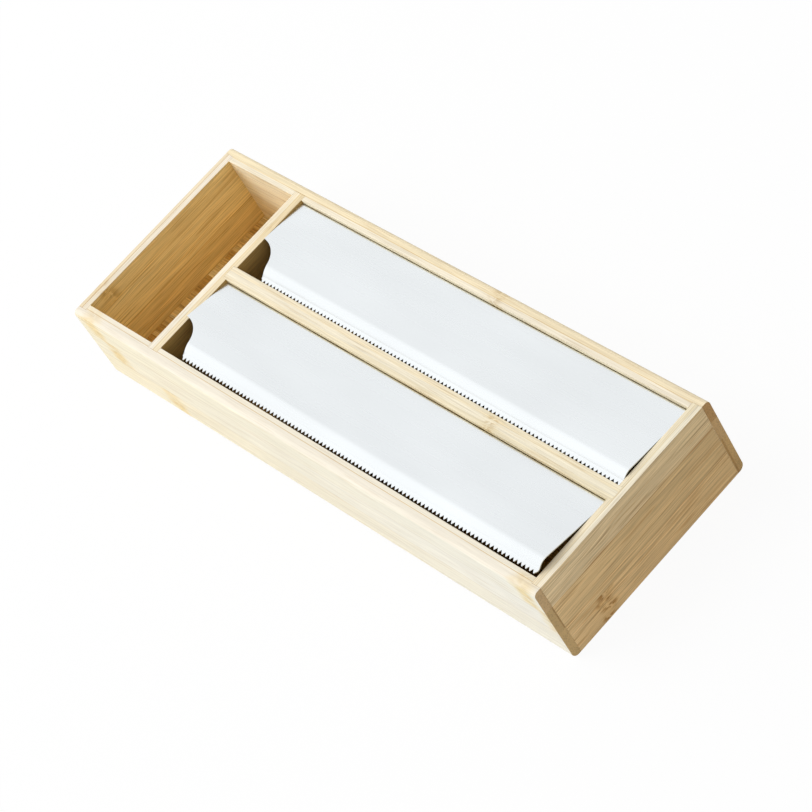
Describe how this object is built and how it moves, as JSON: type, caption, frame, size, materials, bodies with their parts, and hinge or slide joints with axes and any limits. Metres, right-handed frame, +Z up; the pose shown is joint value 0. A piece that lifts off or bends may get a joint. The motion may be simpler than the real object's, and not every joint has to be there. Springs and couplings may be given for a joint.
{
  "type": "cling film dispenser",
  "caption": "Bamboo box with side-by-side film roll bays under hinged steel flaps with toothed cutting edges, and an open tray at one end.",
  "frame": {"origin": "middle of the box in plan, on the surface that it stands on", "axes": "+X from the open tray to the right end, +Y from front to back, +Z up"},
  "size_m": [0.42, 0.145, 0.0671],
  "materials": {
    "bamboo": "sanded and oiled, satin",
    "steel_sheet": "satin stainless sheet",
    "steel_rod": "drawn stainless rod"
  },
  "bodies": {
    "box": {"base_panel": "bamboo", "front_board": "bamboo", "back_board": "bamboo", "left_end_board": "bamboo", "right_end_board": "bamboo", "cross_divider": "bamboo", "centre_divider": "bamboo", "front_hinge_rod": "steel_rod", "back_hinge_rod": "steel_rod", "flap_rest_pins": "steel_rod"},
    "front_flap": {"front_flap": "steel_sheet"},
    "back_flap": {"back_flap": "steel_sheet"}
  },
  "joints": [
    {"name": "front_flap_hinge", "type": "hinge", "parent": "box", "child": "front_flap", "pos_m": [0.036, -0.00686, 0.0584], "axis": [-1, 0, 0], "range_deg": [0, 83]},
    {"name": "back_flap_hinge", "type": "hinge", "parent": "box", "child": "back_flap", "pos_m": [0.036, 0.06114, 0.0584], "axis": [-1, 0, 0], "range_deg": [0, 87]}
  ]
}
